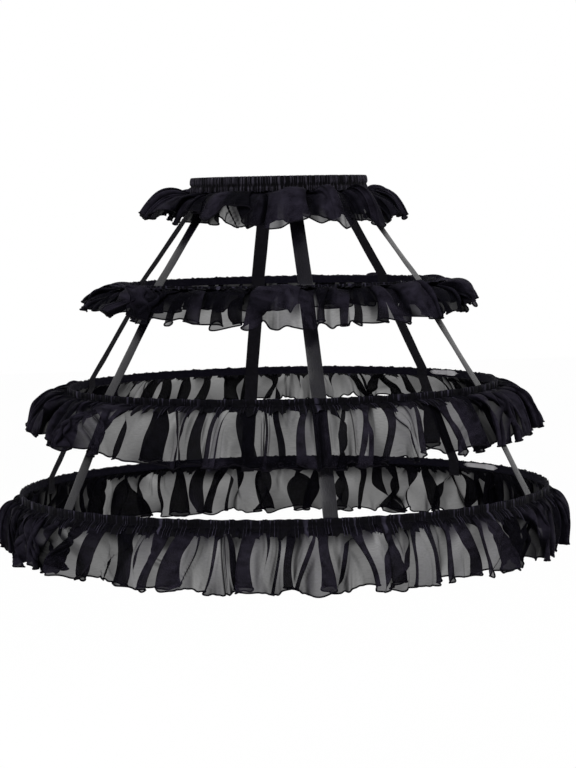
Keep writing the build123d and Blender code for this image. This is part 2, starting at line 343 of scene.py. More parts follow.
class Ruffle(NamedTuple):
    """Sizes of one ruffle, in millimetres, degrees and shares of the way from the seam down to the hem. Pairs of
    lengths at the ends are for the left end and the right one."""

    radius: float  # of the seam
    corners: list  # four control points of the section, as radius and height
    front: list  # wide folds that face the front, as rows of angle, width and lean
    creases: list  # thin creases between them, as rows of angle, width, lean and bow
    spacing: float  # of the wide folds round the rest of the ring
    widths: tuple  # narrowest and widest of those
    rounded: float  # share of wide folds whose two sides curl under
    deep: float  # how much deeper a fold is for each millimetre of width
    fine: float  # how many thin creases and ticks there are
    flutes: int  # slow waves round the hem
    depth: float  # of those waves
    bulge: float  # how far the lobes between wide folds stand out
    hang: float  # how much lower they hang
    swing: tuple  # how far the sides of the ring stand out and up
    puff: float  # of the arch above the seam
    crowd: tuple  # where the dense gathers begin and end to thin out
    ragged: float  # how uneven that line is
    sides: tuple  # from where to where across the half width the cloth gets crushed
    crush: float  # size of the rolled folds there
    tips: tuple  # lift of the ends
    dips: tuple  # how far the arch sinks at the ends
    pulls: tuple  # how far the hem is drawn in at the ends
    droop: float  # how much lower the hem hangs beside the ends
    flips: list  # places where the hem is lifted or lowered, as rows of angle, half width and lift
    back: float  # lift of the hem at the back
    veil: float  # how much further down the dense gathers reach at the back
    sheer: float  # share of the light that one flat layer lets through
    head: float  # length of the gathered head along the cloth
    seed: int
    count_t: int  # mesh columns
    count_v: int  # mesh rows


SWAY = 1.8
FOLD_RISE = 1.5
CREASE_WIDER, CREASE_RISE = 1.25, 1.8
SOFT_TAKE = 0.35
# an end this far down means that a fold runs out over the hem
PAST_HEM = 2.0
# degrees beyond the outermost front folds that stay free of random ones
FRONT_MARGIN = 3
# mean distance between the small folds that are tried; those that would cross another are left out
THIN_SPACING, TICK_SPACING, SOFT_SPACING = 6, 3, 10
FINE_STEPS = 20000
# periods round the ring, in millimetres
ROLL_PERIOD, PUCKER_PERIOD, HEAD_PERIOD = 15, 7.5, 6.0
RIPPLE_PERIODS, WEDGE_PERIODS, SHADE_PERIODS = (8, 11, 15, 19), (9, 13, 21), (27, 38, 55)
HEM_RADIUS = 1.15
HEAD_COLUMNS_PER_MM, HEAD_ROWS = 8.4, 10
# share of a gathered head that lies above the seam, on the casing
HEAD_SPLIT = 0.4


def bend_profile(corners, share):
    """Radius, height and outward normal along a ruffle's section: a Bezier curve from seam to hem through four control
    points."""
    a, b, c, d = np.array(corners, float)
    v = share[..., None]
    point = (1 - v) ** 3 * a + 3 * v * (1 - v) ** 2 * b + 3 * v ** 2 * (1 - v) * c + v ** 3 * d
    slope = 3 * (1 - v) ** 2 * (b - a) + 6 * v * (1 - v) * (c - b) + 3 * v ** 2 * (d - c)
    slope /= np.linalg.norm(slope, axis=-1, keepdims=True)
    return point[..., 0], point[..., 1], -slope[..., 1], slope[..., 0]


def pinch(x):
    """A smooth wiggle that is zero outside -1 to 1 and peaks at one: x times the square of (1 - x squared), scaled."""
    return 3.494 * x * np.clip(1 - x * x, 0, None) ** 2


def bell(x):
    """A smooth hump that is one in the middle and zero outside -1 to 1: the square of (1 - x squared)."""
    return np.clip(1 - x * x, 0, None) ** 2


def fold_rows(rng, place, width, rise, lean, bow, end, take=1.0, rounded=0.0):
    """Folds as rows of place, strip width, take-up, rise, lay, lean, bow, start, end and taper below the seam, in
    millimetres and shares of the ruffle's length. A lay of 1 or -1 is a pleat laid to one side; rounded is the share of
    folds with a lay of 0, whose two sides curl in under the lobes beside them."""
    count = len(place)
    lay = rng.choice([-1.0, 1.0], count) * (rng.uniform(0, 1, count) >= rounded)
    start = rng.uniform(0.0, 0.06, count)
    taper = rng.uniform(-0.35, 0.45, count)
    return np.stack(np.broadcast_arrays(place, width, take, rise, lay, lean, bow, start, end, taper), axis=-1)


def fold_line(folds, down):
    """Place of each fold round the ring at these shares of the way down: a straight lean, half a sine of bow and a slow
    sway, a sine that is a little wider on wide folds."""
    place, width, lean, bow = (folds[..., k:k + 1] for k in (0, 1, 5, 6))
    sway = (SWAY + 0.1 * np.minimum(width, 16)) * np.sin(5.5 * down + 2.3 * place)
    return place + lean * (down - 0.35) + bow * np.sin(np.pi * down) + sway


def add_clear(folds, rows, length, room):
    """The folds with those of the rows added that keep clear of every fold before them, from the seam to the hem."""
    down = np.linspace(0, 1, 5)
    for row in rows:
        away = np.abs(short_way(fold_line(folds, down) - fold_line(row, down), length))
        if (away > folds[:, 1:2] + row[1] + room).all():
            folds = np.vstack([folds, row])
    return folds


def lay_folds(size):
    """All the folds of a ruffle. Those at the front are listed. The rest of the ring gets wide folds and thin
    creases at random, and then the whole ring gets short ticks below the seam and soft creases, clear of the others.
    Returns the folds and the places of the wide ones."""
    rng = np.random.default_rng(size.seed + 500)
    length = 2 * np.pi * size.radius
    front, creases = np.array(size.front, float).reshape(-1, 3), np.array(size.creases, float).reshape(-1, 4)
    low = np.radians(front[:, 0].min() - FRONT_MARGIN) * size.radius
    high = np.radians(front[:, 0].max() + FRONT_MARGIN) * size.radius

    def some(low, high, count):
        return rng.uniform(low, high, count)

    def at_the_back(place):
        return place[(place - low) % length > high - low]

    place, width = np.radians(front[:, 0]) * size.radius, front[:, 1]
    rise = FOLD_RISE + size.deep * width
    laid = fold_rows(rng, place, width, rise, front[:, 2], 0.0, PAST_HEM, rounded=size.rounded)
    steps = some(0.55, 1.45, int(length / size.spacing))
    place = at_the_back(np.cumsum(steps) / steps.sum() * length)
    count = len(place)
    width = some(*size.widths, count)
    rise = FOLD_RISE + size.deep * width
    end = rng.choice([0.3, PAST_HEM], count, p=[0.12, 0.88])
    loose = fold_rows(rng, place, width, rise, rng.normal(0, 9, count), rng.normal(0, 3, count), end,
                      rounded=size.rounded)
    wide = np.concatenate([laid, loose])
    place = np.radians(creases[:, 0]) * size.radius
    width = CREASE_WIDER * creases[:, 1]
    drawn = fold_rows(rng, place, width, CREASE_RISE, creases[:, 2], creases[:, 3], PAST_HEM)
    place = at_the_back(some(0, length, int(size.fine * length / THIN_SPACING)))
    count = len(place)
    thin = fold_rows(rng, place, some(1.8, 4.0, count), some(1.2, 2.6, count), rng.normal(0, 10, count),
                     rng.normal(0, 6, count), some(0.5, 2.0, count))
    folds = add_clear(np.concatenate([wide, drawn]), thin, length, 1.0)
    count = int(size.fine * length / TICK_SPACING)
    tick = fold_rows(rng, some(0, length, count), some(1.8, 4.5, count), some(0.8, 1.8, count),
                     rng.normal(0, 8, count), rng.normal(0, 2, count), some(-0.25, 0.35, count))
    folds = add_clear(folds, tick, length, -0.5)
    count = int(size.fine * length / SOFT_SPACING)
    soft = fold_rows(rng, some(0, length, count), some(4, 8, count), some(2.0, 4.0, count),
                     rng.normal(0, 6, count), rng.normal(0, 4, count), some(0.2, 1.5, count), SOFT_TAKE)
    return add_clear(folds, soft, length, 0.0), np.sort(wide[:, 0] % length)


def lobes(place, necks, length):
    """Humps between neighbouring necks round a ring: zero at each neck, a squared parabola between, taller where the
    necks lie far apart."""
    ring = np.concatenate([[necks[-1] - length], necks, [necks[0] + length]])
    after = np.clip(np.searchsorted(ring, place % length, side="right"), 1, len(ring) - 1)
    gap = ring[after] - ring[after - 1]
    share = (place % length - ring[after - 1]) / np.maximum(gap, 1e-6)
    return (4 * share * (1 - share)) ** 2 * np.clip(gap * len(necks) / length, 0.3, 1.25)


def column_places(folds, length, count):
    """Places round the seam of a mesh's columns, closer together where folds lie: the running sum of a density, one
    plus a bell curve at each fold, read at even steps."""
    fine = np.linspace(0, length, FINE_STEPS, endpoint=False)
    dense = np.full(fine.shape, 1.0)
    for place, width, _, _, _, lean, bow, *_ in folds:
        away = np.abs(short_way(fine - place, length) - 0.15 * lean - 0.5 * bow)
        away = np.maximum(away - 0.5 * abs(lean) - 0.5 * abs(bow), 0)
        dense += 2.4 / np.sqrt(width / 2) * np.exp(-(away / (width + 2.0)) ** 2)
    mass = np.concatenate([[0], np.cumsum(dense)])
    steps = np.linspace(0, mass[-1], count, endpoint=False)
    return np.interp(steps, mass, np.linspace(0, length, FINE_STEPS + 1))


def lay_cloth(T, V, folds, length):
    """Place round the ring and rise off the section of each point of the cloth once its folds are laid. A fold takes
    its width times a pinch from the place, so that the cloth doubles back on itself, and lifts its two sides apart by
    its rise times a pinch, or sinks both by a bell. Its width follows a taper and a slow sine on the way down."""
    S, D = T.copy(), np.zeros_like(T)
    for fold in folds:
        place, width, take, rise, lay, lean, bow, start, end, taper = fold
        near = np.abs(short_way(T[:, 0] - place, length)) < 3.2 * width + abs(lean) + abs(bow) + 2 * SWAY
        down = V[near]
        away = short_way(T[near] - fold_line(fold, down), length)
        broad = width * (1 + taper * (down - 0.5) + 0.2 * np.sin(4.5 * down + 1.7 * place))
        grown = smooth_step(start, start + 0.12, down) * (1 - smooth_step(end, end + 0.7, down))
        S[near] -= grown * take * broad * pinch(away / (1.1 * broad))
        sink = bell(away / (2.2 * broad)) if lay == 0 else lay * pinch(away / (1.8 * broad))
        D[near] -= grown * smooth_step(0.1, 0.6, down) * rise * sink
    return S, D


def hung_section(size, turn, V, lobe, behind):
    """Radius, height and outward normal of a ruffle before its folds: its section carried round the ring. The sides
    swing up, puffs lift the arch, and lobes and a slow sum of sines lower the hem. At the two ends, by powers of how
    far across a point lies, the cloth is lifted, its arch sinks and its hem is drawn in, and beside them the hem
    droops. Bells lift or lower it in places, and the back is lifted."""
    r, z, out_r, out_z = bend_profile(size.corners, V)
    flutes, seed = size.flutes, size.seed
    across = np.sin(turn + SIDE_TURN)
    left, end = across < 0, np.abs(across) ** 4
    side = -np.cos(2 * turn)
    arch = 4 * V * (1 - V) * ring_noise(turn, [flutes + 1, flutes + 4, flutes * 2 - 5], seed + 5)
    r = r + size.swing[0] * V * side
    z = z + size.swing[1] * V ** 2 * side + size.puff * arch - size.hang * (lobe - 0.5) * V ** 2
    z = z - 1.6 * V * ring_noise(turn, [flutes * 2 + 1, flutes * 3 - 2], seed + 3)
    z = z + np.where(left, *size.tips) * np.abs(across) ** 5 * (V ** 2 + 2 * V * (1 - V))
    z = z - np.where(left, *size.dips) * end * 4 * V * (1 - V)
    r = r - np.where(left, *size.pulls) * end * V
    z = z - size.droop * V ** 2 * bell((np.abs(across) - 0.78) / 0.3)
    for angle, half_width, lift in size.flips:
        z = z + lift * V ** 2 * bell(short_way(np.degrees(turn) - angle, 360) / half_width)
    raised = size.back * behind
    return r + 0.3 * raised * V, z + raised * V ** 1.3, out_r, out_z


def light_through(size, turn, V, crushed, behind):
    """Share of the light that the flat cloth lets through: a little uneven all over, least where the gathers crowd
    below the seam, down to a ragged line, and where the ends are crushed. Dark wedges, a stepped sum of sines, run down
    from the seam: partly denser cloth in the small gathers, partly their painted shade. Broad soft painted shadows
    cross the rest."""
    flutes, seed, length = size.flutes, size.seed, 2 * np.pi * size.radius
    through = size.sheer * (1 + 0.3 * ring_noise(turn + 0.03 * V, [37, 61, 83], seed + 6) * np.sin(3 * V + 1))
    rough = ring_noise(turn, [flutes + 5, flutes * 2 + 3, flutes * 3 + 1], seed + 7)
    edge = V - size.veil * behind + size.ragged * rough
    through = through * (1 - 0.8 * (1 - smooth_step(*size.crowd, edge)))
    through = through * (1 - 0.82 * crushed)
    # dark wedges below the seam: partly denser cloth in the small gathers, partly painted shade of their creases
    waves = [round(length / period) for period in WEDGE_PERIODS]
    wander = turn + 0.012 * V * ring_noise(turn, [19, 43], seed + 13)
    wedges = smooth_step(0.2, 1.5, ring_noise(wander, waves, seed + 14))
    through = through * (1 - 0.75 * wedges * (1 - smooth_step(0.1, 0.55, V)))
    # broad soft painted shadows across the panels
    waves = [round(length / period) for period in SHADE_PERIODS]
    wander = turn + 0.03 * V * ring_noise(turn, [11, 27], seed + 15)
    shade = smooth_step(0.2, 1.6, ring_noise(wander, waves, seed + 16))
    return through * (1.06 - 0.45 * shade)


def gathered_ruffle(size, folds, necks):
    """A gathered sheet round a hoop: its hung section with the folds laid on it along the normal. Slow flutes, a sum of
    sines, grow towards the hem, and lobes bulge between the wide folds. At the two ends rolled folds, a cosine that
    also slides sideways by a sine, crush the cloth. Small puckers fade below the seam and ripples run along the hem.
    Returns the points, the cover, which is more where the cloth stands edge on and holds painted shade, and a painted
    shade and highlight: lighter the higher a point stands on its fold, darker near the seam and where the cloth stands
    edge on."""
    radius, flutes, seed = size.radius, size.flutes, size.seed
    length = 2 * np.pi * radius
    t = column_places(folds, length, size.count_t)
    v = np.linspace(0, 1, size.count_v) ** 1.15
    T, V = np.meshgrid(t, v, indexing="ij")
    S, D = lay_cloth(T, V, folds, length)
    turn = T / radius
    D += size.depth * V ** 1.1 * ring_noise(turn, [flutes, flutes + 3, flutes * 2 - 3, flutes // 2 + 1], seed)
    S += 3.5 * V * ring_noise(turn, [flutes // 2, flutes - 4, flutes + 7], seed + 1)
    lobe = lobes(T + 4 * V * ring_noise(turn, [flutes, flutes + 5], seed + 8), necks, length)
    D += size.bulge * (lobe - 0.5) * smooth_step(0.0, 0.7, V)

    crushed = smooth_step(*size.sides, np.abs(np.sin(turn + SIDE_TURN)))
    wander = 2.8 * ring_noise(turn, [29, 53, 79], seed + 9) + 1.5 * V * ring_noise(turn, [17, 31], seed + 10)
    rolling = round(length / ROLL_PERIOD) * turn + wander
    rolled = size.crush * crushed * smooth_step(0.02, 0.35, V)
    D += rolled * np.cos(rolling)
    S -= 1.2 * rolled * np.sin(rolling)

    puckers = round(length / PUCKER_PERIOD) * turn + 2.6 * ring_noise(turn, [23, 41, 67], seed + 2)
    reach = 0.2 + 0.12 * ring_noise(turn, [31, 57, 89], seed + 4)
    fading = 1 - smooth_step(0.3 * reach, reach, V)
    D += 1.7 * fading * smooth_step(0.0, 0.03, V) * np.cos(puckers)

    behind = smooth_step(-0.1, 0.8, -np.cos(turn + SIDE_TURN))
    r, z, out_r, out_z = hung_section(size, turn, V, lobe, behind)
    ripples = [round(length / period) for period in RIPPLE_PERIODS]
    z = z + 0.7 * V ** 5 * ring_noise(turn, ripples, seed + 11)
    D += 1.1 * V ** 5 * ring_noise(turn, ripples, seed + 12)
    points = ring_point(S / radius, r + D * out_r, z + D * out_z)

    facing = np.stack([out_r * np.sin(S / radius), -out_r * np.cos(S / radius), out_z], axis=-1)
    normal = np.cross(np.gradient(points, axis=1), np.roll(points, -1, 0) - np.roll(points, 1, 0))
    flat = np.abs((normal * facing).sum(-1)) / (np.linalg.norm(normal, axis=-1) + 1e-9)
    through = light_through(size, turn, V, crushed, behind)
    # painted shade and highlight: lighter on the crests of the folds and lobes, darker in their hollows, near the seam
    # and where the cloth stands edge on
    swell = 0.5 * size.bulge + size.depth
    rib = smooth_step(-swell, swell + 2, D) * smooth_step(0.0, 0.25, V)
    return points, 1 - through ** (1 / np.maximum(flat, 0.2)), rib * (0.35 + 0.65 * flat)


def gather_heading(size, top, slant):
    """The tightly gathered head of a ruffle: upright small folds that cover the casing from its top edge, then run on
    under it along the ruffle's section to a ragged lower edge. Each fold is a cosine round the ring that also slides
    sideways by a sine. Slant is the ruffle's length along the cloth. Returns the points and a painted highlight on each
    fold's crest with painted shade between, from 0 to 1, stronger on some folds than others."""
    radius, seed = size.radius, size.seed + 70
    turn = np.linspace(0, 2 * np.pi, int(radius * HEAD_COLUMNS_PER_MM), endpoint=False)
    share = np.linspace(0, 1, HEAD_ROWS)
    U, V = np.meshgrid(turn, share, indexing="ij")
    puckers = radius * U / HEAD_PERIOD * 2 * np.pi + 2.6 * ring_noise(U, [19, 37, 71, 113], seed)
    reach = size.head * (1 + 0.12 * np.cos(puckers) + 0.16 * ring_noise(U, [53, 97, 151], seed + 1))
    above = np.clip(1 - V / HEAD_SPLIT, 0, 1)
    below = np.clip((V - HEAD_SPLIT) / (1 - HEAD_SPLIT), 0, 1)
    r, z, out_r, out_z = bend_profile(size.corners, below * reach / slant)
    tall = top - size.corners[0][1]
    ragged_top = 0.5 * ring_noise(U, [67, 103, 161], seed + 2) + 0.35 * np.cos(puckers)
    lift = 1.3 + (0.35 + 0.9 * below) * np.cos(puckers) - 1.1 * above ** 3
    slide = 1.3 * np.sin(puckers) * smooth_step(0, 0.3, V) / radius
    r = r + 1.1 * above
    out_r, out_z = np.where(above > 0, 1.0, out_r), np.where(above > 0, 0.0, out_z)
    # painted highlight on the crests of the small folds and painted shade between them, stronger on some folds than
    # others
    uneven_ridge = np.clip(0.7 + 0.3 * ring_noise(U, [41, 77, 129], seed + 3), 0, 1)
    rib = (0.5 + 0.5 * np.cos(puckers)) ** 1.4 * uneven_ridge
    height = z + tall * above + ragged_top * above ** 2 + lift * out_z
    return ring_point(U - slide, r + lift * out_r, height), rib


WAIST_FRONT = [
    (-118, 8, 0), (-97, 9, -4), (-66, 12, -12), (-50.5, 8, 11), (-27.4, 11, 12), (-13, 9, 4), (1.4, 11, -3),
    (27.2, 9, -16), (46, 11, -14), (58, 8, 8), (78, 8, -5), (96, 9, 4),
]
UPPER_FRONT = [
    (-60.1, 19, -40), (-47.8, 17, -32), (-39.2, 15, -25), (-34, 14, -12), (-27.7, 13, -6), (-20.6, 13, -10),
    (-12.5, 20, -36), (5, 6, -10), (11.4, 8, -12), (16, 7, -12), (21.8, 10, -8), (30.5, 15, -8), (38.8, 19, -6),
    (46, 20, -8),
]
MIDDLE_FRONT = [
    (-100, 14, -4), (-92, 14, -8), (-84, 14, -16), (-76, 14, -20), (-68, 14, -26), (-60, 14, -30), (-50.3, 28, -32),
    (-39.1, 22, 2), (-28.2, 11, 4), (-17.3, 18.4, 2), (-10, 7.9, 4), (-4.5, 9.1, -15), (4.7, 5, -8),
    (15.3, 14.1, -12), (26.1, 14.9, -5), (31.5, 22, 10), (37.5, 18.5, 18), (44, 20, 20), (50.5, 14, 16), (57, 14, 12),
    (64, 14, 10), (71, 14, 8), (78, 14, 4), (85, 14, 2),
]
LOWER_FRONT = [
    (-97, 14, -6), (-90.5, 14, -12), (-84, 14, -20), (-77, 14, -30), (-70, 14, -40), (-62.5, 14, -46), (-55, 26, -50),
    (-48.5, 26, -50), (-41, 22, -18), (-33.8, 17.8, -30), (-29.1, 20, -22), (-16.2, 14.5, 0), (-8.3, 9.6, -1),
    (-1.5, 13.3, -1), (5.2, 12.5, 16), (11, 11.8, 13), (22.9, 10.6, 13), (27.7, 14.7, 17), (31.3, 13, 20),
    (36.4, 16, 26), (42.2, 20, 30), (48.5, 14, 30), (54.5, 14, 26), (60.5, 14, 20), (67, 14, 14), (73.5, 14, 8),
    (80, 14, 4),
]
MIDDLE_CREASES = [
    (-58.6, 4, -24, 1), (-55.6, 3.2, -18, 4), (-52.8, 2.6, -20, -3), (-45.9, 4.6, -16, 1), (-34.6, 2.8, 13, 6),
    (-31.2, 2.5, -5, 0), (-23.4, 3.5, -14, 0), (-21.9, 2.4, -9, 2), (-13, 2.3, 0, 2), (1.2, 2.5, -7, -1),
    (2.4, 2.3, -5, 7), (9.6, 4.3, -19, 2), (11.5, 2.7, -12, 0), (19.7, 2.7, -8, -7), (22.6, 2.8, -12, -2),
]
LOWER_CREASES = [
    (-23.6, 3, -13, 10), (-20.4, 4.3, 16, 4), (-11.6, 2.9, -1, 10), (-4.6, 4.2, -18, 3), (2.2, 3.2, -16, 5),
    (8.3, 3.1, 5, 6), (14.5, 3.2, -3, 2), (16.4, 5.5, -1, 1), (19.8, 5.8, 3, -3), (-45, 4.2, -17, 10),
    (-37.4, 3.4, -17, 4), (-25.9, 2.5, -19, 3),
]
RUFFLES = {
    "waist": Ruffle(
        radius=124.5, corners=[(124.6, -12.0), (147, -6), (168, -9), (184, -37)], front=WAIST_FRONT, creases=[],
        spacing=32, widths=(6, 13), rounded=0.7, deep=0.5, fine=0.25, flutes=13, depth=3.0, bulge=19, hang=24,
        swing=(1, 11), puff=3.5, crowd=(0.85, 1.12), ragged=0.16, sides=(0.5, 0.8), crush=2.5, tips=(0, -7),
        dips=(7, 0), pulls=(0, 13), droop=9, flips=[(-32, 12, 10), (-8, 9, -8), (5, 10, 8)], back=0, veil=0,
        sheer=0.2, head=10, seed=11, count_t=2000, count_v=34,
    ),
    "upper": Ruffle(
        radius=219.0, corners=[(219, -145.6), (243, -130), (268, -142), (275, -178)], front=UPPER_FRONT, creases=[],
        spacing=24, widths=(7, 18), rounded=0.4, deep=0.35, fine=0.6, flutes=23, depth=2.5, bulge=7, hang=9,
        swing=(4, 8), puff=1.5, crowd=(0.6, 0.82), ragged=0.1, sides=(0.5, 0.72), crush=3.0, tips=(9, 5),
        dips=(15, 14), pulls=(0, 5), droop=0, flips=[], back=0, veil=0.22, sheer=0.21, head=24, seed=23,
        count_t=2600, count_v=32,
    ),
    "middle": Ruffle(
        radius=305.0, corners=[(305, -290.2), (331, -286), (353, -318), (358, -355)], front=MIDDLE_FRONT,
        creases=MIDDLE_CREASES, spacing=24, widths=(6, 20), rounded=0.3, deep=0.3, fine=1.0, flutes=24, depth=2.5,
        bulge=5, hang=6, swing=(3, 8), puff=1.0, crowd=(0.15, 0.4), ragged=0.09, sides=(0.62, 0.8), crush=4.0,
        tips=(14, 8), dips=(0, 0), pulls=(0, 0), droop=0, flips=[(24.5, 7, 18)], back=28, veil=0, sheer=0.165,
        head=31, seed=37, count_t=3600, count_v=28,
    ),
    "lower": Ruffle(
        radius=376.0, corners=[(376, -438.2), (394, -446), (401, -476), (397, -514)], front=LOWER_FRONT,
        creases=LOWER_CREASES, spacing=20, widths=(6, 20), rounded=0.3, deep=0.3, fine=1.0, flutes=28, depth=2.5,
        bulge=5, hang=6, swing=(1, 2), puff=0.7, crowd=(0.18, 0.5), ragged=0.09, sides=(0.66, 0.84), crush=4.0,
        tips=(13, 6), dips=(0, 0), pulls=(0, 0), droop=0, flips=[], back=0, veil=0, sheer=0.16, head=26, seed=52,
        count_t=3650, count_v=28,
    ),
}


def make_ruffle(tier, size):
    """A ruffle with its rolled hem and gathered head, in place of the CAD node."""
    points, cover, rib = gathered_ruffle(size, *lay_folds(size))
    cloth = cloth_mesh(f"{tier}_ruffle_chiffon", points, CHIFFON, cover=cover, rib=rib)
    hem = cloth_mesh(f"{tier}_rolled_hem", tube_points(points[:, -1], HEM_RADIUS), HEM_THREAD, round_v=True)
    slant = cut_size(points)[1] / MM
    top = node_box("waist_ruffle")[1][2] if tier == "waist" else hoop_sizes(tier)[2]
    head_points, head_shading = gather_heading(size, top, slant)
    head = cloth_mesh(f"{tier}_gathered_head", head_points, GATHERED, rib=head_shading)
    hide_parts(f"{tier}_ruffle")
    cut_size(points)


for tier, size in RUFFLES.items():
    make_ruffle(tier, size)


# Casings

# shares of the way round a casing's section at which the inner wall, the top, the outer wall and the bottom end
UP, OVER, DOWN, UNDER = 0.2, 0.3, 0.7, 0.78
TOP_EASE, LOW_EASE = 0.9, 0.6
# depth below the top at which the inner lips meet, and how far they draw back up and down at the window
LIP, LIP_UP, LIP_DOWN = 4.4, 3.6, 4.3
WINDOW_EASE = 7.0
CASING_PUCKER = 8.0
# half thickness at the seam, and how much fuller the tape is over the bone
SEAM_HALF, BONE_FULL = 0.75, 1.35
# depths below the top of the bone's middle and of the stitch line, and how far from them each shows
BONE_DEPTH, BONE_REACH = 4.3, 4.7
STITCH_DEPTH, STITCH_REACH = 9.3, 0.45
CASING_COLUMNS_PER_MM, CASING_ROWS = 4, 41


def casing_section(share, open_share, height):
    """Half thickness side and depth below the top of a casing's section: from the inner wall's middle up, over the top
    by half a turn, down the outer wall, under the seam allowance by half a turn and back up. Where the window is open
    the two lips draw back to the top and the bottom."""
    lip_top = LIP - LIP_UP * open_share
    lip_low = LIP + LIP_DOWN * open_share
    low = height - LOW_EASE
    up, back = share < UP, share >= UNDER
    out = (share >= UP) & (share < OVER)
    down = (share >= OVER) & (share < DOWN)
    under = (share >= DOWN) & (share < UNDER)
    top_turn = np.pi * (share - UP) / (OVER - UP)
    low_turn = np.pi * (share - DOWN) / (UNDER - DOWN)
    depth = np.where(up, lip_top + (TOP_EASE - lip_top) * share / UP, 0)
    depth = np.where(out, TOP_EASE - TOP_EASE * np.sin(top_turn), depth)
    depth = np.where(down, TOP_EASE + (low - TOP_EASE) * (share - OVER) / (DOWN - OVER), depth)
    depth = np.where(under, low + LOW_EASE * np.sin(low_turn), depth)
    depth = np.where(back, low + (lip_low - low) * (share - UNDER) / (1 - UNDER), depth)
    side = np.where(up | back, -1.0, 1.0)
    side = np.where(out, -np.cos(top_turn), side)
    side = np.where(under, np.cos(low_turn), side)
    return side, depth


def casing_tape(hoop, seed):
    """A cloth tape folded round the bone: its section carried round the hoop, full over the bone by half an ellipse,
    pinched at the stitched seam, with small puckers, and open on the inside at the window."""
    outer, inner, top, bottom = hoop_sizes(hoop)
    middle, height = (outer + inner) / 2, top - bottom
    turn = np.linspace(0, 2 * np.pi, int(middle * CASING_COLUMNS_PER_MM), endpoint=False)
    share = np.linspace(0, 1, CASING_ROWS)
    U, V = np.meshgrid(turn, share, indexing="ij")
    edge = WINDOW_EASE / middle
    opening = smooth_step(WINDOW_START - edge, WINDOW_START + edge, U)
    closing = smooth_step(WINDOW_END - edge, WINDOW_END + edge, U)
    side, depth = casing_section(V, (hoop != "upper") * opening * (1 - closing), height)
    full = SEAM_HALF + BONE_FULL * np.sqrt(np.clip(1 - ((depth - BONE_DEPTH) / BONE_REACH) ** 2, 0, 1))
    puckers = np.cos(2 * np.pi * middle * U / CASING_PUCKER + 2.5 * ring_noise(U, [17, 31, 59], seed))
    wrinkle = 0.16 * puckers * smooth_step(4.0, 10.0, depth)
    wrinkle = wrinkle + 0.14 * ring_noise(U + 0.004 * depth, [61, 97, 133], seed + 1)
    stitch = -0.35 * np.exp(-((depth - STITCH_DEPTH) / STITCH_REACH) ** 2)
    lump = 0.35 * ring_noise(U, [43, 71, 109], seed + 2) * np.exp(-depth / 2.0)
    radius = middle + side * (full + wrinkle + stitch)
    return ring_point(U, radius, top - depth + lump)


def make_casing(hoop, seed):
    """A hoop's casing tape in place of the CAD node, and the finish of the bone and sleeve inside it."""
    points = casing_tape(hoop, seed)
    tape = cloth_mesh(f"{hoop}_casing_tape", points, CASING)
    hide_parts(f"{hoop}_hoop_casing")
    cut_size(points)
    for node, material in ((f"{hoop}_hoop_bone", BONE), (f"{hoop}_joint_sleeve", SLEEVE)):
        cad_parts[node].data.materials.clear()
        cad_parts[node].data.materials.append(material)


for number, hoop in enumerate(HOOPS):
    make_casing(hoop, 300 + 10 * number)


# Waistband

BAND_BORE, BAND_WALL = 120.5, 124.4
BAND_RIBS, COLUMNS_PER_RIB, BAND_SIDES = 176, 12, 44
RIB_DEEP_OUTSIDE, RIB_DEEP_INSIDE = 1.9, 0.35
STITCH_HALF = 1.2


def shirred_band(seed):
    """A tunnel of cloth drawn up on elastic: a closed section with two puffed rows, pinched by a stitch line at mid
    height, and ribs of uneven width round it, cut deeper outside than inside, that step sideways at the stitch line.
    Returns the points and a painted highlight for each, from 0 in a groove, where it is painted shade, to 1 on a
    ridge, dimmer along the stitch line."""
    half = node_box("waistband")[1][2]
    turn = np.linspace(0, 2 * np.pi, COLUMNS_PER_RIB * BAND_RIBS, endpoint=False)
    around = np.linspace(0, 2 * np.pi, BAND_SIDES, endpoint=False)
    U, V = np.meshgrid(turn, around, indexing="ij")
    height = half * np.sign(np.sin(V)) * np.abs(np.sin(V)) ** 0.62
    outward = np.sign(np.cos(V)) * np.abs(np.cos(V)) ** 0.45
    outside = outward > 0
    step = 1.1 * np.tanh(height / STITCH_HALF) * ring_noise(U, [37, 61, 89], seed + 1)
    ribs = BAND_RIBS * U + 2.2 * ring_noise(U, [13, 29, 47, 83], seed) + step
    # ribs of uneven height, which also makes the painted highlight on them uneven
    uneven_ridge = np.clip(0.85 + 0.22 * ring_noise(U, [59, 91, 127], seed + 2), 0.4, 1)
    ridge = (0.5 + 0.5 * np.cos(ribs)) ** 0.8 * uneven_ridge
    row = np.exp(-(height / STITCH_HALF) ** 2)
    puff = 0.3 * (1 - row) * np.abs(np.sin(np.pi * np.clip(np.abs(height) / half, 0, 1)))
    deep = np.where(outside, RIB_DEEP_OUTSIDE, RIB_DEEP_INSIDE)
    swell = (BAND_WALL - BAND_BORE) / 2 + puff * outside + deep * ridge * (1 - 0.6 * row)
    radius = (BAND_BORE + BAND_WALL) / 2 + outward * swell - 0.3 * row * outside
    lip = 0.5 * ridge * np.abs(np.sin(V)) ** 6 * np.sign(height)
    height = np.clip(height + lip - 0.3 * np.sign(height), -half, half)
    points = ring_point(U, np.maximum(radius, BAND_BORE - 0.1), height)
    # painted highlight on the ridges and painted shade in the grooves, dimmer along the stitched pinch
    return points[:, ::-1], (ridge * (1 - 0.5 * row))[:, ::-1]


def make_waistband():
    """The shirred waistband in place of the CAD node, and the finish of the elastic inside it."""
    points, ridge = shirred_band(410)
    band = cloth_mesh("waistband_shirring", points, SHIRRED, round_v=True, rib=ridge)
    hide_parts("waistband")
    width, girth = cut_size(points)
    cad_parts["waist_elastic"].data.materials.clear()
    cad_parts["waist_elastic"].data.materials.append(ELASTIC)


make_waistband()


# Ribbons

RIBBON_SIDES, RIBBON_STEPS = 28, 260
RIBBON_HALF_THICK = 0.25
# distances from a casing's edge at which a ribbon begins to cup and waver, and does so fully
RIBBON_FREE = (6, 30)


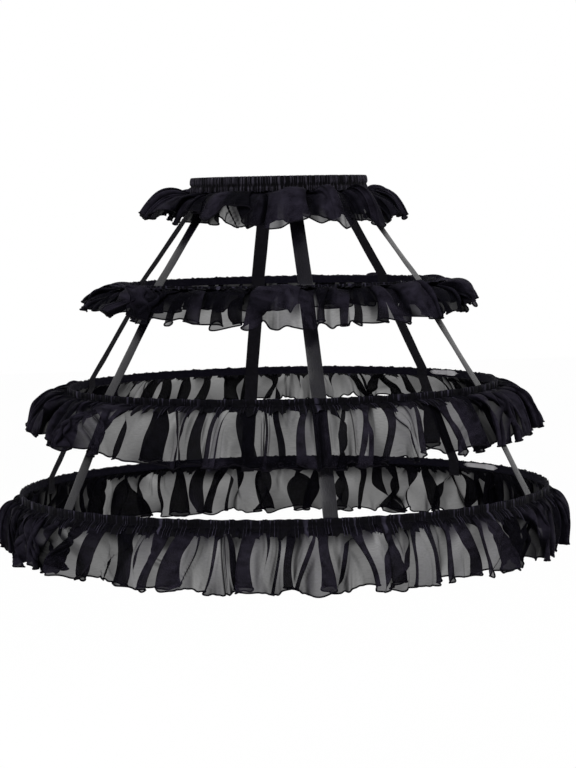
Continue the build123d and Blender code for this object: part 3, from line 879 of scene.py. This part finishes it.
def ribbon_line():
    """Radius and height along the ribbons' outer face, at even steps: straight runs between hoops and down each
    casing. Returns the length along it too."""
    corners = [RIBBON_TOP]
    for hoop in HOOPS:
        _, inner, top, bottom = hoop_sizes(hoop)
        corners += [(inner - RIBBON_SEAT, top), (inner - RIBBON_SEAT, bottom)]
    corners.append((corners[-1][0], corners[-1][1] - RIBBON_TAIL))
    corners = np.array(corners)
    along = np.concatenate([[0], np.cumsum(np.linalg.norm(np.diff(corners, axis=0), axis=1))])
    places = np.linspace(0, along[-1], RIBBON_STEPS)
    line = np.stack([np.interp(places, along, corners[:, k]) for k in (0, 1)], axis=-1)
    return line, places


def satin_ribbon(name, flat, seed):
    """A flat tape 0.5 mm thick: a section rounded by powers of a sine and cosine, carried down the ribbon line, cupped
    by a parabola and wavering by two slow sines where it hangs free, and closed at both ends."""
    line, places = ribbon_line()
    phase = np.random.default_rng(seed).uniform(0, 2 * np.pi, 2)
    slope = np.gradient(line, axis=0)
    slope /= np.linalg.norm(slope, axis=1, keepdims=True)
    inward = np.stack([slope[:, 1], -slope[:, 0]], axis=-1)
    around = np.linspace(0, 2 * np.pi, RIBBON_SIDES, endpoint=False)
    reach = np.sign(np.cos(around)) * np.abs(np.cos(around)) ** 0.35
    across = reach * RIBBON_WIDTH / 2
    thick = RIBBON_HALF_THICK * (1 + np.sign(np.sin(around)) * np.abs(np.sin(around)) ** 0.5)
    waver = 0.35 * np.sin(places / 31 + phase[0]) + 0.25 * np.sin(places / 13 + phase[1])
    free = np.min([np.abs(line[:, 1] - z) for hoop in HOOPS for z in hoop_sizes(hoop)[2:]], axis=0)
    free = smooth_step(*RIBBON_FREE, free)
    cup = free[:, None] * (0.5 * reach[None] ** 2 + 0.8 * waver[:, None] * reach[None])
    inset = thick[None] + cup * (cup > 0) + 0.1
    radial = line[:, 0, None] + inset * inward[:, 0, None]
    height = line[:, 1, None] + inset * inward[:, 1, None]
    angle = flat * FLAT_TURN
    right = np.array([np.cos(angle), np.sin(angle), 0])
    points = ring_point(np.full(radial.shape, angle), radial, height) + across[None, :, None] * right
    ends = [points[k].mean(0) + 0 * points[k] for k in (0, -1)]
    points = np.concatenate([ends[0][None], points, ends[1][None]])
    ribbon = cloth_mesh(f"{name}_satin_ribbon", points, SATIN, round_u=False, round_v=True)
    ribbon.data.materials.append(SATIN_BACK)
    inner_side = np.tile(np.sin(around + np.pi / RIBBON_SIDES) > 0, len(points) - 1)
    ribbon.data.polygons.foreach_set("material_index", inner_side.astype(np.int32))
    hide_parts(f"{name}_ribbon")


for number, (name, flat) in enumerate(RIBBON_FLATS.items()):
    satin_ribbon(name, flat, 600 + number)


# Stage, lights and camera, in metres

FLOOR_HALF, FLOOR_HEIGHT = 12.0, -1.1
PALE, WHITE = (0.85, 0.85, 0.85, 1), (1, 1, 1, 1)
# share of the floor's look that is plain white to the camera; the rest is its own shade, with the cage's shadow
FLOOR_GLOW = 0.93
# strength of the surround as light, and heights of the way up between which it darkens to the ceiling
SURROUND_LIGHT = 0.42
CEILING_START, CEILING_END, CEILING_SHADE = 0.88, 0.97, 0.08
# name, place, power in watts and width of each lamp
LAMPS = (("key", (-1.2, -2.6, 2.2), 80.0, 2.0), ("fill", (2.4, -1.6, 0.8), 18.0, 1.6))
LAMP_TARGET = (0, 0, -0.25)
CAMERA_TURN, CAMERA_DISTANCE, CAMERA_HEIGHT = np.radians(-9.0), 3.3, -0.028
CAMERA_LENS = 108.4
# the cage's axis falls 6 pixels left of the frame's middle and the eye level 179 pixels above it, and the picture hangs
# 1.1 degrees askew
CAMERA_DOWN, CAMERA_ASIDE, CAMERA_ROLL = np.radians(4.425), np.radians(0.137), np.radians(1.1)


def seen_rays(tree):
    """One for rays from the camera, and for those it sees mirrored or through something clear; zero for the rest."""
    path = add_node(tree, "ShaderNodeLightPath").outputs
    largest = {"operation": "MAXIMUM"}
    seen = add_node(tree, "ShaderNodeMath", largest, i0=path["Is Camera Ray"], i1=path["Is Glossy Ray"])
    return add_node(tree, "ShaderNodeMath", largest, i0=seen.outputs[0], i1=path["Is Transmission Ray"]).outputs[0]


def make_floor():
    """A pale floor well below the hem, white to the camera."""
    mesh = bpy.data.meshes.new("floor")
    corners = [(x * FLOOR_HALF, y * FLOOR_HALF, FLOOR_HEIGHT) for x, y in ((-1, -1), (1, -1), (1, 1), (-1, 1))]
    mesh.from_pydata(corners, [], [(0, 1, 2, 3)])
    floor = bpy.data.objects.new("floor", mesh)
    scene.collection.objects.link(floor)
    paint = bpy.data.materials.new("pale_floor")
    paint.use_nodes = True
    tree = paint.node_tree
    tree.nodes.clear()
    seen = add_node(tree, "ShaderNodeMath", {"operation": "MULTIPLY"}, i0=seen_rays(tree), i1=FLOOR_GLOW)
    matt = add_node(tree, "ShaderNodeBsdfDiffuse", Color=PALE)
    glow = add_node(tree, "ShaderNodeEmission", Color=WHITE, Strength=1.04)
    mixed = add_node(tree, "ShaderNodeMixShader", Fac=seen.outputs[0], i1=matt.outputs[0], i2=glow.outputs[0])
    add_node(tree, "ShaderNodeOutputMaterial", Surface=mixed.outputs[0])
    mesh.materials.append(paint)


def make_surround():
    """A soft white surround with a darker ceiling, white to the camera."""
    world = bpy.data.worlds.new("studio")
    world.use_nodes = True
    tree = world.node_tree
    tree.nodes.clear()
    way = add_node(tree, "ShaderNodeTexCoord").outputs["Generated"]
    height = add_node(tree, "ShaderNodeSeparateXYZ", Vector=way).outputs["Z"]
    eased = {"interpolation_type": "SMOOTHSTEP"}
    shade = add_node(tree, "ShaderNodeMapRange", eased, Value=height, i1=CEILING_START, i2=CEILING_END, i3=1.0,
                     i4=CEILING_SHADE)
    dim = add_node(tree, "ShaderNodeMath", {"operation": "MULTIPLY"}, i0=shade.outputs[0], i1=SURROUND_LIGHT)
    soft = add_node(tree, "ShaderNodeBackground", Color=WHITE, Strength=dim.outputs[0])
    white = add_node(tree, "ShaderNodeBackground", Color=WHITE, Strength=shade.outputs[0])
    mixed = add_node(tree, "ShaderNodeMixShader", Fac=seen_rays(tree), i1=soft.outputs[0], i2=white.outputs[0])
    add_node(tree, "ShaderNodeOutputWorld", Surface=mixed.outputs[0])
    scene.world = world


def aim(holder, target):
    """Turns a lamp so that its -Z looks at the target."""
    ahead = np.array(target, float) - np.array(holder.location)
    ahead /= np.linalg.norm(ahead)
    holder.rotation_euler = (np.arccos(-ahead[2]), 0, np.arctan2(-ahead[0], ahead[1]))


def make_lamps():
    """A large lamp above the front and a weaker fill."""
    for name, place, power, width in LAMPS:
        lamp = bpy.data.lights.new(name, "AREA")
        lamp.energy, lamp.size = power, width
        holder = bpy.data.objects.new(name, lamp)
        scene.collection.objects.link(holder)
        holder.location = place
        aim(holder, LAMP_TARGET)


def make_camera():
    """The photograph's view: 3.3 m away, 9 degrees round from the front, at the height of the waist, looking slightly
    down."""
    data = bpy.data.cameras.new("camera")
    data.sensor_width, data.lens = 36.0, CAMERA_LENS
    camera = bpy.data.objects.new("camera", data)
    scene.collection.objects.link(camera)
    place = CAMERA_DISTANCE * np.sin(CAMERA_TURN), -CAMERA_DISTANCE * np.cos(CAMERA_TURN), CAMERA_HEIGHT
    camera.location = place
    look = Euler((np.pi / 2 - CAMERA_DOWN, 0, CAMERA_TURN - CAMERA_ASIDE)).to_matrix()
    camera.rotation_euler = (look @ Matrix.Rotation(-CAMERA_ROLL, 3, "Z")).to_euler()
    scene.camera = camera


make_floor()
make_surround()
make_lamps()
make_camera()

bpy.context.view_layer.update()
